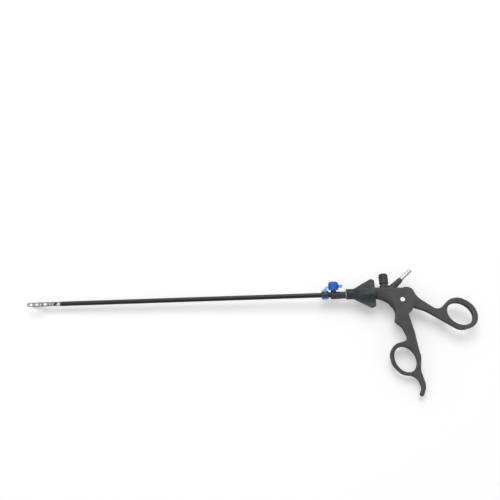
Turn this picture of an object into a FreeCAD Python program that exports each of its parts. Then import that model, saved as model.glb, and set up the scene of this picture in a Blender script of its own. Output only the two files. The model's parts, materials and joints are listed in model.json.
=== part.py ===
import FreeCAD, Part
import math
import os
import re
import Sketcher

# Reusable 5 mm grasping forceps for keyhole surgery, modelled open and lying flat.
# Lengths are millimetres, angles are degrees.
# The origin is the front end of the insulated tube, on the tube's axis.
# +X runs along the tube towards the handle, +Y towards the electrode pin, and +Z
# stands up from the flat handle.

SIZES = [
    # Whole instrument
    ("shaft_length", 306, "front end of the tube to the front of the rotation collar"),
    ("rotor_turn", 20, "turn of the collar, tube and jaws about the tube's axis"),
    ("running", 0.05, "radial clearance of a pin or shaft that turns or slides"),
    ("free_gap", 0.3, "clearance between pieces that only pass each other"),
    # Tube and rod
    ("tube_r", 2.5, "outer radius of the insulated tube"),
    ("insulation", 0.3, "thickness of the black insulation"),
    ("tube_wall", 0.5, "wall of the steel tube"),
    ("rod_r", 0.9, "radius of the drive rod"),
    ("ball_r", 2.0, "radius of the ball on the rod's rear end"),
    ("ball_neck_r", 0.8, "radius of the rod just ahead of the ball"),
    # Rotation collar
    ("collar_length", 30.2, "front face to rear face of the collar"),
    ("collar_nose", 8, "length of the plain cylinder at the collar's front"),
    ("collar_nose_r", 5.5, "radius of the plain cylinder"),
    ("collar_r", 15.5, "greatest radius of the four lobes"),
    ("collar_rim", 13.9, "radius where the lobes meet the rear face"),
    ("lobe_back", 3.8, "lobes' greatest radius to the collar's rear face"),
    ("lobe_turn", 13, "turn of the lobes from the port"),
    ("flute_r", 7.6, "radius of the four scooped flutes"),
    ("flute_place", 15.2, "distance of the flutes' centres from the axis"),
    ("flute_count", 4, "number of flutes"),
    # Spindle that the latch holds in the neck
    ("spindle_r", 3.4, "radius of the spindle"),
    ("spindle_front", 10, "collar front to the spindle's front end"),
    ("spindle_end", 12.2, "collar rear to the spindle's rear end"),
    ("spindle_groove_r", 2.3, "radius of the groove that the latch enters"),
    ("washer_thick", 0.8, "thickness of the slip washer behind the collar"),
    # Flushing port
    ("hub_length", 15.4, "length of the port hub ahead of the collar"),
    ("hub_front_length", 9.5, "length of the hub's thicker front part"),
    ("hub_r", 4.0, "radius of the hub's front part"),
    ("hub_neck_r", 3.7, "radius of the hub beside the collar"),
    ("hub_nose_r", 2.9, "radius of the hub's nose inside the tether's ring"),
    ("hub_drop", 0.7, "distance of the hub's centre below the tube's axis"),
    ("hub_washer", 0.6, "thickness of the white washer ahead of the collar"),
    ("port_x", 12.9, "collar front to the port's centre"),
    ("port_r", 2.9, "outer radius of the port"),
    ("port_bore_r", 2.0, "mouth radius of the port's tapered bore"),
    ("port_bore_depth", 5.0, "depth of the tapered bore"),
    ("bore_taper", 0.03, "loss of the bore's radius for each millimetre of depth"),
    ("plug_depth", 3.0, "depth that the cap's plug reaches into the bore"),
    ("port_top", 9.4, "tube axis to the port's mouth"),
    ("channel_r", 1.0, "radius of the flushing channel into the tube"),
    ("cap_r", 5.2, "radius of the blue cap"),
    ("cap_top", 13.9, "tube axis to the top of the cap"),
    ("cap_foot", 4.9, "tube axis to the lower edge of the cap"),
    ("cap_tab", 4.2, "length of the cap's pull tab"),
    ("tether_r", 5.7, "outer radius of the tether's ring"),
    ("tether_width", 7.6, "width of the tether's ring along the tube"),
    ("tether_x", 18.0, "collar front to the rear of the tether's ring"),
    ("strap_width", 4.4, "width of the tether's strap"),
    # Handle
    ("housing_thick", 14, "thickness of the housing and its disc"),
    ("blade_top", 12.5, "pivot down to where the handle starts to thin"),
    ("blade_foot", 43, "pivot down to the ring's thickness"),
    ("hook_foot", 60, "finger hole down past the hook's tip"),
    ("blade_bow", 110, "rounding where the handle starts to thin"),
    ("ring_bow", 60, "rounding where it meets the ring's thickness"),
    ("ring_thick", 7.6, "thickness of the finger ring"),
    ("hook_thick", 6.2, "thickness at the end of the hook"),
    ("handle_edge", 1.6, "rounding of the front handle's edges"),
    ("ring_edge", 1.3, "rounding of the finger hole's edges"),
    ("finger_hole_long", 13.4, "long half axis of the finger hole"),
    ("finger_hole_short", 10.6, "short half axis of the finger hole"),
    ("finger_hole_x", 22.5, "collar rear to the centre of the finger hole"),
    ("finger_hole_drop", 70.4, "tube axis to the centre of the finger hole"),
    ("finger_hole_turn", 71, "slope of the finger hole's long axis"),
    ("neck_front", 1.0, "collar rear to the front of the neck"),
    ("neck_crown", 8, "neck's front to its widest section"),
    ("neck_back", 8.2, "pivot to the neck's back section"),
    ("rod_room", 5, "pivot to the end of the rod's bore"),
    ("neck_r", 6.0, "radius of the neck at its front"),
    ("bushing_r", 4.5, "outer radius of the neck bushing"),
    ("bushing_length", 7.2, "length of the neck bushing"),
    # Pivot
    ("pivot_x", 26.2, "collar rear to the pivot"),
    ("pivot_drop", 9.9, "tube axis to the pivot"),
    ("disc_r", 13.5, "radius of the housing's disc about the pivot"),
    ("disc_flat", 11.5, "pivot to the front end of the disc's flat top"),
    ("screw_r", 2.0, "radius of the pivot screw"),
    ("screw_head_r", 2.8, "radius of the screw's head"),
    ("screw_head", 1.6, "height of the screw's head"),
    ("nut_r", 3.2, "radius of the pivot nut"),
    ("nut_thick", 2.4, "thickness of the pivot nut"),
    ("lever_bushing_r", 3.0, "outer radius of the lever's bushing"),
    # Thumb lever
    ("lever_thick", 7.0, "thickness of the thumb lever"),
    ("lever_edge", 1.9, "rounding of the thumb lever's edges"),
    ("lever_mid", 5.7, "turn of the lever from rest to the middle of its travel"),
    ("thumb_hole_long", 13.4, "long half axis of the thumb hole"),
    ("thumb_hole_short", 10.9, "short half axis of the thumb hole"),
    ("thumb_hole_x", 82.9, "collar rear to the centre of the thumb hole"),
    ("thumb_hole_drop", 25.3, "tube axis to the centre of the thumb hole"),
    ("thumb_hole_turn", 40, "slope of the thumb hole's long axis"),
    # Release button
    ("button_x", 10.3, "collar rear to the button's axis"),
    ("button_r", 4.75, "radius of the button"),
    ("button_top", 20.8, "tube axis to the top of the button"),
    ("button_height", 10.4, "height of the button"),
    ("button_roof", 3.4, "thickness of the button's top"),
    ("button_ribs", 4, "number of grooves round the button"),
    ("stem_r", 1.9, "radius of the button's stem"),
    ("guide_r", 3.6, "outer radius of the guide under the button"),
    ("guide_top", 10.9, "tube axis to the top of the guide"),
    ("boss_r", 5.0, "radius of the boss that covers the latch"),
    ("boss_top", 7.8, "tube axis to the top of the boss"),
    ("latch_thick", 1.6, "thickness of the latch plate"),
    ("latch_width", 7.8, "width of the latch plate"),
    ("latch_roof", 7.1, "tube axis to the top of the latch's slot"),
    ("latch_top", 6.6, "tube axis to the top of the latch plate"),
    ("latch_travel", 2.0, "travel of the button and latch"),
    ("spring_r", 2.5, "centre radius of the button spring"),
    ("spring_wire", 0.3, "wire radius of the button spring"),
    # Electrode pin
    ("electrode_x", 12.2, "collar rear to where the pin's axis meets the tube's axis"),
    ("electrode_slope", 42, "slope of the pin from the tube's axis"),
    ("electrode_r", 2.0, "radius of the electrode pin"),
    ("shank_r", 1.6, "radius of the pin inside its boot"),
    ("electrode_end", 37.2, "tube axis to the pin's free end, along the pin"),
    ("boot_end", 21.8, "tube axis to the boot's tip, along the pin"),
    ("boot_start", 8.6, "tube axis to the boot's foot, along the pin"),
    ("boot_foot_r", 3.7, "radius of the boot's foot"),
    ("boot_tip_r", 2.8, "radius of the boot's tip"),
    ("contact_r", 0.5, "radius of the pin's inner contact"),
    ("contact_end", 3.3, "tube axis to the contact's inner end, along the pin"),
    ("contact_length", 5.2, "length of the inner contact"),
    # Jaws
    ("jaw_pivot", 10.8, "front end of the tube to the jaws' pin"),
    ("jaw_length", 24.7, "jaw pin to the tip of a jaw"),
    ("jaw_width", 4.6, "width of a jaw"),
    ("jaw_height", 2.15, "height of a jaw at its root"),
    ("jaw_tip_height", 1.0, "height of a jaw at its tip"),
    ("jaw_root", 3.0, "jaw pin to the back of a jaw's bite"),
    ("jaw_rest", 14, "opening of each jaw at rest"),
    ("jaw_window", 2.4, "width of the windows"),
    ("near_start", 4.2, "jaw pin to the near window"),
    ("near_end", 11.2, "jaw pin to the end of the near window"),
    ("far_start", 13.0, "jaw pin to the far window"),
    ("far_end", 21.8, "jaw pin to the end of the far window"),
    ("tooth_pitch", 1.0, "pitch of the fine cross grooves"),
    ("tooth_count", 18, "number of cross grooves"),
    ("tooth_depth", 0.25, "depth of the cross grooves"),
    ("yoke_r", 2.3, "radius of the yoke"),
    ("yoke_base", 2.6, "length of the yoke's solid base"),
    ("yoke_slot", 2.7, "width of the yoke's slot"),
    ("yoke_spigot", 7, "length of the yoke inside the tube"),
    ("jaw_pin_r", 0.6, "radius of the jaw pin"),
    ("drive_pin_r", 0.45, "radius of the pin that drives the jaws"),
    ("tail_thick", 0.8, "thickness of a jaw's tail"),
    ("blade_thick", 0.8, "thickness of the rod head's blade"),
    ("cam_closed", 5.5, "jaw pin to drive pin with the jaws closed"),
    ("head_r", 1.25, "radius of the rod's head in the yoke"),
    ("rod_close", 2.705, "travel of the rod from rest to closed"),
    ("rod_open", 0.715, "travel of the rod from rest to fully open"),
]

doc = FreeCAD.newDocument("Grasper")
sheet = doc.addObject("Spreadsheet::Sheet", "Sizes")
for row, (alias, value, meaning) in enumerate(SIZES, start=1):
    sheet.set("A%d" % row, meaning)
    sheet.set("B%d" % row, str(value))
    sheet.setAlias("B%d" % row, alias)
doc.recompute()
ALIASES = {alias for alias, value, meaning in SIZES}


def bound(text):
    """An expression on the sheet's cells, from one that names only their aliases."""
    return re.sub(r"[a-z_]+", lambda word: "Sizes." + word[0] if word[0] in ALIASES else word[0],
                  str(text))


def number(text):
    """The value of an expression as a plain number."""
    return float(sheet.evalExpression(bound(text)))


def placed(x="0", y="0", z="0", axis="1; 0; 0", angle="0"):
    """A placement written as an expression."""
    move = "create(<<vector>>; %s; %s; %s)" % (x, y, z)
    turn = "create(<<rotation>>; create(<<vector>>; %s); %s)" % (axis, angle)
    return "create(<<placement>>; %s; %s)" % (move, turn)


AT_TIP = placed(angle="rotor_turn")
AT_COLLAR = placed(x="shaft_length", angle="rotor_turn")
AT_HANDLE = placed(x="shaft_length + collar_length")
AT_JAW_PIN = AT_TIP + " * " + placed(x="-jaw_pivot", axis="0; 1; 0", angle="%sjaw_rest")
AT_UPPER_JAW = AT_JAW_PIN % ""
AT_LOWER_JAW = AT_JAW_PIN % "-"

sub_parts = {}


def keep(label, piece, where):
    """Names a finished piece, puts it in its place and lists it for writing."""
    piece.Label = label
    piece.setExpression("Placement", bound(where))
    sub_parts[label] = piece
    return piece


def new_body(label, where=None):
    """A body, listed as a finished piece if it is given a place."""
    body = doc.addObject("PartDesign::Body", label)
    return keep(label, body, where) if where else body


def new_sketch(body, title, plane="XY", x="0", y="0", z="0", turn="0"):
    """A sketch on one of the body's own planes, shifted and turned in that plane."""
    sketch = body.newObject("Sketcher::SketchObject", body.Name + "_" + title)
    own = [item for item in body.Origin.OriginFeatures if item.Role == plane + "_Plane"]
    sketch.AttachmentSupport = [(own[0], "")]
    sketch.MapMode = "FlatFace"
    offset = placed(x, y, z, "0; 0; 1", turn)
    sketch.setExpression("AttachmentOffset", bound(offset))
    return sketch


def pin_point(sketch, index, corner, x, y):
    """Dimensions a point of the sketch from its origin."""
    for kind, text in (("DistanceX", x), ("DistanceY", y)):
        number_of = sketch.addConstraint(
            Sketcher.Constraint(kind, -1, 1, index, corner, number(text)))
        sketch.setExpression("Constraints[%d]" % number_of, bound(text))


def outline(sketch, corners):
    """A closed line through corners (x, y) or (x, y, rounding), all expressions."""
    count = len(corners)
    points = [FreeCAD.Vector(number(c[0]), number(c[1]), 0) for c in corners]
    entry, leave, middle = list(points), list(points), [None] * count
    for i, corner in enumerate(corners):
        if len(corner) == 2:
            continue
        radius = number(corner[2])
        back = (points[i - 1] - points[i]).normalize()
        ahead = (points[(i + 1) % count] - points[i]).normalize()
        half = back.getAngle(ahead) / 2
        inward = (back + ahead).normalize()
        entry[i] = points[i] + back * (radius / math.tan(half))
        leave[i] = points[i] + ahead * (radius / math.tan(half))
        middle[i] = points[i] + inward * (radius / math.sin(half) - radius)
    lines = []
    for i in range(count):
        straight = Part.LineSegment(leave[i], entry[(i + 1) % count])
        lines.append(sketch.addGeometry(straight, False))
    for i, corner in enumerate(corners):
        before, after = lines[i - 1], lines[i]
        if middle[i] is None:
            sketch.addConstraint(Sketcher.Constraint("Coincident", before, 2, after, 1))
            pin_point(sketch, after, 1, corner[0], corner[1])
            continue
        arc = sketch.addGeometry(Part.Arc(entry[i], middle[i], leave[i]), False)
        first = 1 if sketch.getPoint(arc, 1).distanceToPoint(entry[i]) < 1e-4 else 2
        mark = sketch.addGeometry(Part.Point(points[i]), True)
        sketch.addConstraint([
            Sketcher.Constraint("Tangent", before, 2, arc, first),
            Sketcher.Constraint("Tangent", arc, 3 - first, after, 1),
            Sketcher.Constraint("PointOnObject", mark, 1, before),
            Sketcher.Constraint("PointOnObject", mark, 1, after)])
        radius = sketch.addConstraint(Sketcher.Constraint("Radius", arc, number(corner[2])))
        sketch.setExpression("Constraints[%d]" % radius, bound(corner[2]))
        pin_point(sketch, mark, 1, corner[0], corner[1])
    return sketch


def circle(sketch, x, y, radius):
    centre = FreeCAD.Vector(number(x), number(y), 0)
    ring = sketch.addGeometry(Part.Circle(centre, FreeCAD.Vector(0, 0, 1), number(radius)), False)
    size = sketch.addConstraint(Sketcher.Constraint("Radius", ring, number(radius)))
    sketch.setExpression("Constraints[%d]" % size, bound(radius))
    pin_point(sketch, ring, 3, x, y)
    return sketch


def oval(sketch, half_long, half_short):
    """An ellipse about the sketch's origin, its long axis level."""
    long_end = FreeCAD.Vector(number(half_long), 0, 0)
    short_end = FreeCAD.Vector(0, number(half_short), 0)
    ring = sketch.addGeometry(Part.Ellipse(long_end, short_end, FreeCAD.Vector()), False)
    sketch.exposeInternalGeometry(ring)
    sketch.addConstraint(Sketcher.Constraint("Coincident", ring, 3, -1, 1))
    sketch.addConstraint(Sketcher.Constraint("Horizontal", ring + 1))
    for line, half in ((ring + 1, half_long), (ring + 2, half_short)):
        size = sketch.addConstraint(Sketcher.Constraint("Distance", line, 2 * number(half)))
        sketch.setExpression("Constraints[%d]" % size, bound("2 * (%s)" % half))
    return sketch


def pad(body, sketch, length, both_ways=True, cut=False):
    """Pads or cuts a sketch, half each way or in the direction of the feature."""
    kind = "PartDesign::Pocket" if cut else "PartDesign::Pad"
    feature = body.newObject(kind, sketch.Name + ("_cut" if cut else "_pad"))
    feature.Profile = sketch
    feature.Midplane = both_ways
    feature.setExpression("Length", bound(length))
    doc.recompute()
    return feature


def cut(body, sketch, length, both_ways=True):
    return pad(body, sketch, length, both_ways, cut=True)


def spin(body, sketch, axis="H_Axis", groove=False):
    """Turns a sketch once round its own level or upright axis."""
    kind = "PartDesign::Groove" if groove else "PartDesign::Revolution"
    feature = body.newObject(kind, sketch.Name + "_turn")
    feature.Profile = sketch
    feature.ReferenceAxis = (sketch, [axis])
    feature.Angle = 360
    doc.recompute()
    return feature


def turned(label, where, corners, axis="H_Axis", x="0", y="0"):
    """A piece turned on a lathe from its half outline."""
    body = new_body(label, where)
    sketch = outline(new_sketch(body, "half", "XY", x=x, y=y), corners)
    spin(body, sketch, axis)
    return body


def soften(body, radius, chosen):
    """Rounds the edges of the body that a test picks."""
    base = body.Tip
    names = ["Edge%d" % (i + 1) for i, edge in enumerate(base.Shape.Edges) if chosen(edge)]
    feature = body.newObject("PartDesign::Fillet", body.Name + "_soft")
    feature.Base = (base, names)
    feature.setExpression("Radius", bound(radius))
    doc.recompute()
    return feature


def bar(title, start, end, radius):
    """A round bar along the tube's axis, as a primitive."""
    piece = doc.addObject("Part::Cylinder", title)
    piece.setExpression("Radius", bound(radius))
    piece.setExpression("Height", bound("%s - (%s)" % (end, start)))
    piece.setExpression("Placement", bound(placed(x=start, axis="0; 1; 0", angle="90")))
    return piece


def pair(kind, label, base, tool, where=None):
    """Joins, cuts or meets two objects."""
    piece = doc.addObject("Part::" + kind, label)
    piece.Base = base
    piece.Tool = tool
    return keep(label, piece, where) if where else piece


STEEL_R = "(tube_r - insulation)"
BORE_R = "(tube_r - insulation - tube_wall)"


# Insulated tube
def tube():
    sleeve_back = "shaft_length - tether_x - tether_width"
    turned("tube_insulation", AT_TIP, [
        ("0", STEEL_R), ("0", "tube_r"), (sleeve_back, "tube_r"), (sleeve_back, STEEL_R)])
    core_back = "shaft_length + spindle_front + 10"
    core = turned("outer_tube", AT_TIP, [
        ("0", BORE_R), ("0", STEEL_R), (core_back, STEEL_R), (core_back, BORE_R)])
    drill = circle(new_sketch(core, "channel", "XZ"), "shaft_length - port_x", "0", "channel_r")
    cut(core, drill, "2 * tube_r", both_ways=False)


# Rotation collar with four scooped flutes
def rotation_collar():
    body = turned("rotation_collar", AT_COLLAR, [
        ("0", STEEL_R),
        ("0", "collar_nose_r", "0.6"),
        ("collar_nose", "collar_nose_r", "7"),
        ("collar_length - lobe_back", "collar_r", "3"),
        ("collar_length", "collar_rim", "2"),
        ("collar_length", "spindle_r"),
        ("spindle_front", "spindle_r"),
        ("spindle_front", STEEL_R)])
    sketch = new_sketch(body, "flute", "YZ", turn="180 / flute_count - lobe_turn")
    circle(sketch, "flute_place", "0", "flute_r")
    flute = cut(body, sketch, "4 * collar_length")
    pattern = body.newObject("PartDesign::PolarPattern", "flutes")
    pattern.Originals = [flute]
    pattern.Axis = (sketch, ["N_Axis"])
    pattern.Angle = 360
    pattern.setExpression("Occurrences", bound("flute_count"))
    body.Tip = pattern
    doc.recompute()
    top = number("collar_r")
    nose = number("collar_nose_r")

    def lobe_edge(edge):
        box = edge.BoundBox
        reach = max(math.hypot(v.Y, v.Z) for v in edge.Vertexes)
        return box.XLength > number("collar_nose") and nose < reach < top + 1

    soften(body, "1.1", lobe_edge)


# Spindle that carries the collar in the neck
def spindle():
    groove_front = "collar_length + button_x - latch_thick / 2 - running * 2"
    groove_back = "collar_length + button_x + latch_thick / 2 + running * 2"
    core_back = "spindle_front + 10"
    turned("spindle", AT_COLLAR, [
        ("spindle_front", STEEL_R),
        ("spindle_front", "spindle_r"),
        (groove_front, "spindle_r"),
        (groove_front, "spindle_groove_r"),
        (groove_back, "spindle_groove_r"),
        (groove_back, "spindle_r"),
        ("collar_length + spindle_end - 0.5", "spindle_r"),
        ("collar_length + spindle_end", "spindle_r - 0.5"),
        ("collar_length + spindle_end", "rod_r + running"),
        (core_back, "rod_r + running"),
        (core_back, STEEL_R)])
    turned("slip_washer", AT_COLLAR, [
        ("collar_length", "spindle_r"),
        ("collar_length", "neck_r - 0.5"),
        ("collar_length + washer_thick", "neck_r - 0.5"),
        ("collar_length + washer_thick", "spindle_r")])


# Hub with the flushing port, its cap and the cap's tether
def flushing_port():
    hub_back = "-hub_washer"
    step = "hub_front_length - hub_length - hub_washer"
    front = "-hub_length - hub_washer"
    hub = new_body("port_hub", AT_COLLAR)
    shell = outline(new_sketch(hub, "half", y="-hub_drop"), [
        (front, "0"),
        (front, "hub_r", "0.8"),
        (step, "hub_r", "0.3"),
        (step + " + 0.6", "hub_neck_r", "0.3"),
        (hub_back, "hub_neck_r"),
        (hub_back, "0")])
    spin(hub, shell)
    nose_front = "-tether_x - tether_width"
    nose = circle(new_sketch(hub, "nose", "YZ", z=nose_front), "0", "0", "hub_nose_r")
    pad(hub, nose, "tether_x + tether_width - hub_length", both_ways=False)
    bore = circle(new_sketch(hub, "bore", "YZ"), "0", "0", STEEL_R)
    cut(hub, bore, "8 * hub_length")
    drill = circle(new_sketch(hub, "channel", "XZ"), "-port_x", "0", "channel_r")
    cut(hub, drill, "2 * hub_r", both_ways=False)
    turned("hub_washer", AT_COLLAR, [
        (hub_back, STEEL_R),
        (hub_back, "hub_r + 0.5"),
        ("0", "hub_r + 0.5"),
        ("0", STEEL_R)])
    port = turned("port_turned", None, [
        ("channel_r", "tube_r"),
        ("port_r", "tube_r"),
        ("port_r", "port_top - 1.2"),
        ("port_r + 0.5", "port_top - 1.2"),
        ("port_r + 0.5", "port_top - 0.2"),
        ("port_r + 0.3", "port_top"),
        ("port_bore_r", "port_top"),
        ("port_bore_r - bore_taper * port_bore_depth", "port_top - port_bore_depth"),
        ("channel_r", "port_top - port_bore_depth")], "V_Axis", x="-port_x")
    hub_round = bar("hub_round", "-3 * hub_length", "hub_length", "hub_r")
    hub_round.setExpression("Placement", bound(
        placed(x="-3 * hub_length", y="-hub_drop", axis="0; 1; 0", angle="90")))
    pair("Cut", "luer_port", port, hub_round, AT_COLLAR)


def port_cap():
    inner = "port_r + 0.5 + free_gap"
    ceiling = "port_top + free_gap"
    cap = turned("port_cap", AT_COLLAR, [
        ("0", "cap_top"),
        ("0", "port_top - plug_depth"),
        ("port_bore_r - bore_taper * plug_depth - 2 * running", "port_top - plug_depth"),
        ("port_bore_r - 2 * running", ceiling),
        (inner, ceiling),
        (inner, "cap_foot"),
        ("cap_r - 0.2", "cap_foot"),
        ("cap_r", "cap_foot + 1"),
        ("cap_r", "cap_top - 1.6", "1.5"),
        ("cap_r - 1.9", "cap_top", "1.5")], "V_Axis", x="-port_x")
    tab_end = "cap_r + cap_tab - port_x"
    tab_start = "cap_r - 0.8 - port_x"
    tab = outline(new_sketch(cap, "tab"), [
        (tab_start, "cap_foot + 2.0"),
        (tab_end, "cap_foot + 2.4", "0.8"),
        (tab_end, "cap_foot + 5.2", "0.8"),
        (tab_start, "cap_foot + 5.6")])
    pad(cap, tab, "3.4")


def tether():
    front = "-tether_x - tether_width"
    back = "-tether_x"
    turned("tether_ring", AT_COLLAR, [
        (front, "hub_nose_r"),
        (front, "tether_r", "2.2"),
        (back, "tether_r", "2.2"),
        (back, "hub_nose_r")])
    strap = new_body("tether_strap", AT_COLLAR)
    left = "-tether_x - tether_width * 0.75"
    cap_side = "-port_x - cap_r - free_gap / 2"
    shape = outline(new_sketch(strap, "side"), [
        (left, "tether_r"),
        ("-tether_x - tether_width * 0.25", "tether_r"),
        (cap_side + " - 0.5", "tether_r + 1.2", "0.4"),
        (cap_side, "tether_r + 1.2"),
        (cap_side, "tether_r + 3.4"),
        (cap_side + " - 2.4", "tether_r + 3.2", "1.6")])
    pad(strap, shape, "strap_width")


# Seal that keeps gas in the tube round the moving rod
def rod_seal():
    turned("rod_seal", AT_COLLAR, [
        ("-5", "rod_r + running"), ("-5", BORE_R), ("-2.5", BORE_R), ("-2.5", "rod_r + running")])


# Yoke that carries the jaws
def jaw_yoke():
    back = "yoke_spigot"
    nose = "-jaw_pivot - 1.9"
    body = turned("jaw_yoke", AT_TIP, [
        (nose, "0"),
        (nose, "yoke_r", "1.2"),
        ("0", "yoke_r"),
        ("0", BORE_R),
        (back, BORE_R),
        (back, "0")])
    slot = outline(new_sketch(body, "slot"), [
        (nose + " - 1", "-yoke_slot / 2"),
        ("-yoke_base", "-yoke_slot / 2", "0.5"),
        ("-yoke_base", "yoke_slot / 2", "0.5"),
        (nose + " - 1", "yoke_slot / 2")])
    cut(body, slot, "4 * yoke_r")
    bore = circle(new_sketch(body, "bore", "YZ"), "0", "0", "head_r + running")
    cut(body, bore, "4 * jaw_pivot")
    pin_hole = circle(new_sketch(body, "pin", "XZ"), "-jaw_pivot", "0", "jaw_pin_r")
    cut(body, pin_hole, "4 * yoke_r")
    length = "yoke_r - 0.1"
    pin = doc.addObject("Part::Cylinder", "jaw_pin")
    pin.setExpression("Radius", bound("jaw_pin_r"))
    pin.setExpression("Height", bound("2 * (%s)" % length))
    keep("jaw_pin", pin, AT_TIP + " * " + placed(
        x="-jaw_pivot", y="-(%s)" % length, axis="1; 0; 0", angle="-90"))


# Drive rod with the ball that the thumb lever moves, and the head that moves the jaws
def drive_rod():
    ball_x = "shaft_length + collar_length + pivot_x - pivot_drop * tan(lever_mid)"
    neck_start = "shaft_length + collar_length + spindle_end + 1.5"
    head_back = "yoke_spigot - 2"
    long_bar = bar("rod_bar", head_back, neck_start, "rod_r")
    neck = bar("rod_neck", neck_start, ball_x, "ball_neck_r")
    ball = doc.addObject("Part::Sphere", "rod_ball")
    ball.setExpression("Radius", bound("ball_r"))
    ball.setExpression("Placement", bound(placed(x=ball_x)))
    pair("Fuse", "drive_rod", pair("Fuse", "rod_line", long_bar, neck), ball, AT_TIP)

    drive_pin_x = "cam_closed - rod_close - jaw_pivot"
    barrel = bar("head_barrel", "-yoke_base + 1", head_back, "head_r")
    blade = doc.addObject("Part::Box", "head_blade")
    blade_start = "(%s - drive_pin_r - 0.5)" % drive_pin_x
    blade.setExpression("Length", bound("1.2 - yoke_base - %s" % blade_start))
    blade.setExpression("Width", bound("blade_thick"))
    blade.setExpression("Height", bound("2 * head_r - 0.2"))
    blade.setExpression("Placement", bound(
        placed(x=blade_start, y="-blade_thick / 2", z="0.1 - head_r")))
    hole = doc.addObject("Part::Cylinder", "head_hole")
    hole.setExpression("Radius", bound("drive_pin_r"))
    hole.setExpression("Height", bound("yoke_r"))
    hole.setExpression("Placement", bound(
        placed(x=drive_pin_x, y="yoke_r / 2", axis="1; 0; 0", angle="90")))
    head = pair("Fuse", "head_joined", barrel, blade)
    pair("Cut", "rod_head", head, hole, AT_TIP)
    half = "(yoke_slot / 2 - 0.1)"
    pin = doc.addObject("Part::Cylinder", "drive_pin")
    pin.setExpression("Radius", bound("drive_pin_r"))
    pin.setExpression("Height", bound("2 * " + half))
    keep("drive_pin", pin, AT_TIP + " * " + placed(
        x=drive_pin_x, y="-" + half, axis="1; 0; 0", angle="-90"))


def cam_point(travel, side=0.0):
    """A point of the cam slot, where the drive pin sits once the rod has gone forward
    by travel from closed. The jaw turns in proportion to the travel."""
    reach = number("cam_closed") - travel
    angle = math.radians(number("jaw_rest / rod_close")) * travel
    slope = math.radians(number("jaw_rest / rod_close"))
    along = FreeCAD.Vector(-math.cos(angle) - reach * slope * math.sin(angle), 0,
                           -math.sin(angle) + reach * slope * math.cos(angle)).normalize()
    across = FreeCAD.Vector(-along.z, 0, along.x)
    return FreeCAD.Vector(reach * math.cos(angle), 0, reach * math.sin(angle)) + across * side


def cam_slot(title, thickness):
    """The slot in a jaw's tail as a solid, from the sizes of the linkage."""
    half = number("drive_pin_r + running")
    spare = number("running")
    far = number("rod_close + rod_open") + spare
    sides = []
    for side in (half, -half):
        walk = [cam_point(-spare + (far + spare) * step / 6, side) for step in range(7)]
        curve = Part.BSplineCurve()
        curve.interpolate(walk)
        sides.append(curve.toShape())
    caps = []
    for travel, forward in ((-spare, 1), (far, -1)):
        ahead = cam_point(travel) + (cam_point(travel) - cam_point(travel + forward)).normalize() * half
        caps.append(Part.Arc(cam_point(travel, half), ahead, cam_point(travel, -half)).toShape())
    edges = [sides[0], caps[1], sides[1], caps[0]]
    face = Part.Face(Part.Wire(Part.__sortEdges__(edges)))
    slot = doc.addObject("Part::Feature", title)
    slot.Shape = face.extrude(FreeCAD.Vector(0, thickness, 0))
    slot.Placement = FreeCAD.Placement(FreeCAD.Vector(0, -thickness / 2, 0), FreeCAD.Rotation())
    return slot


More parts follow.
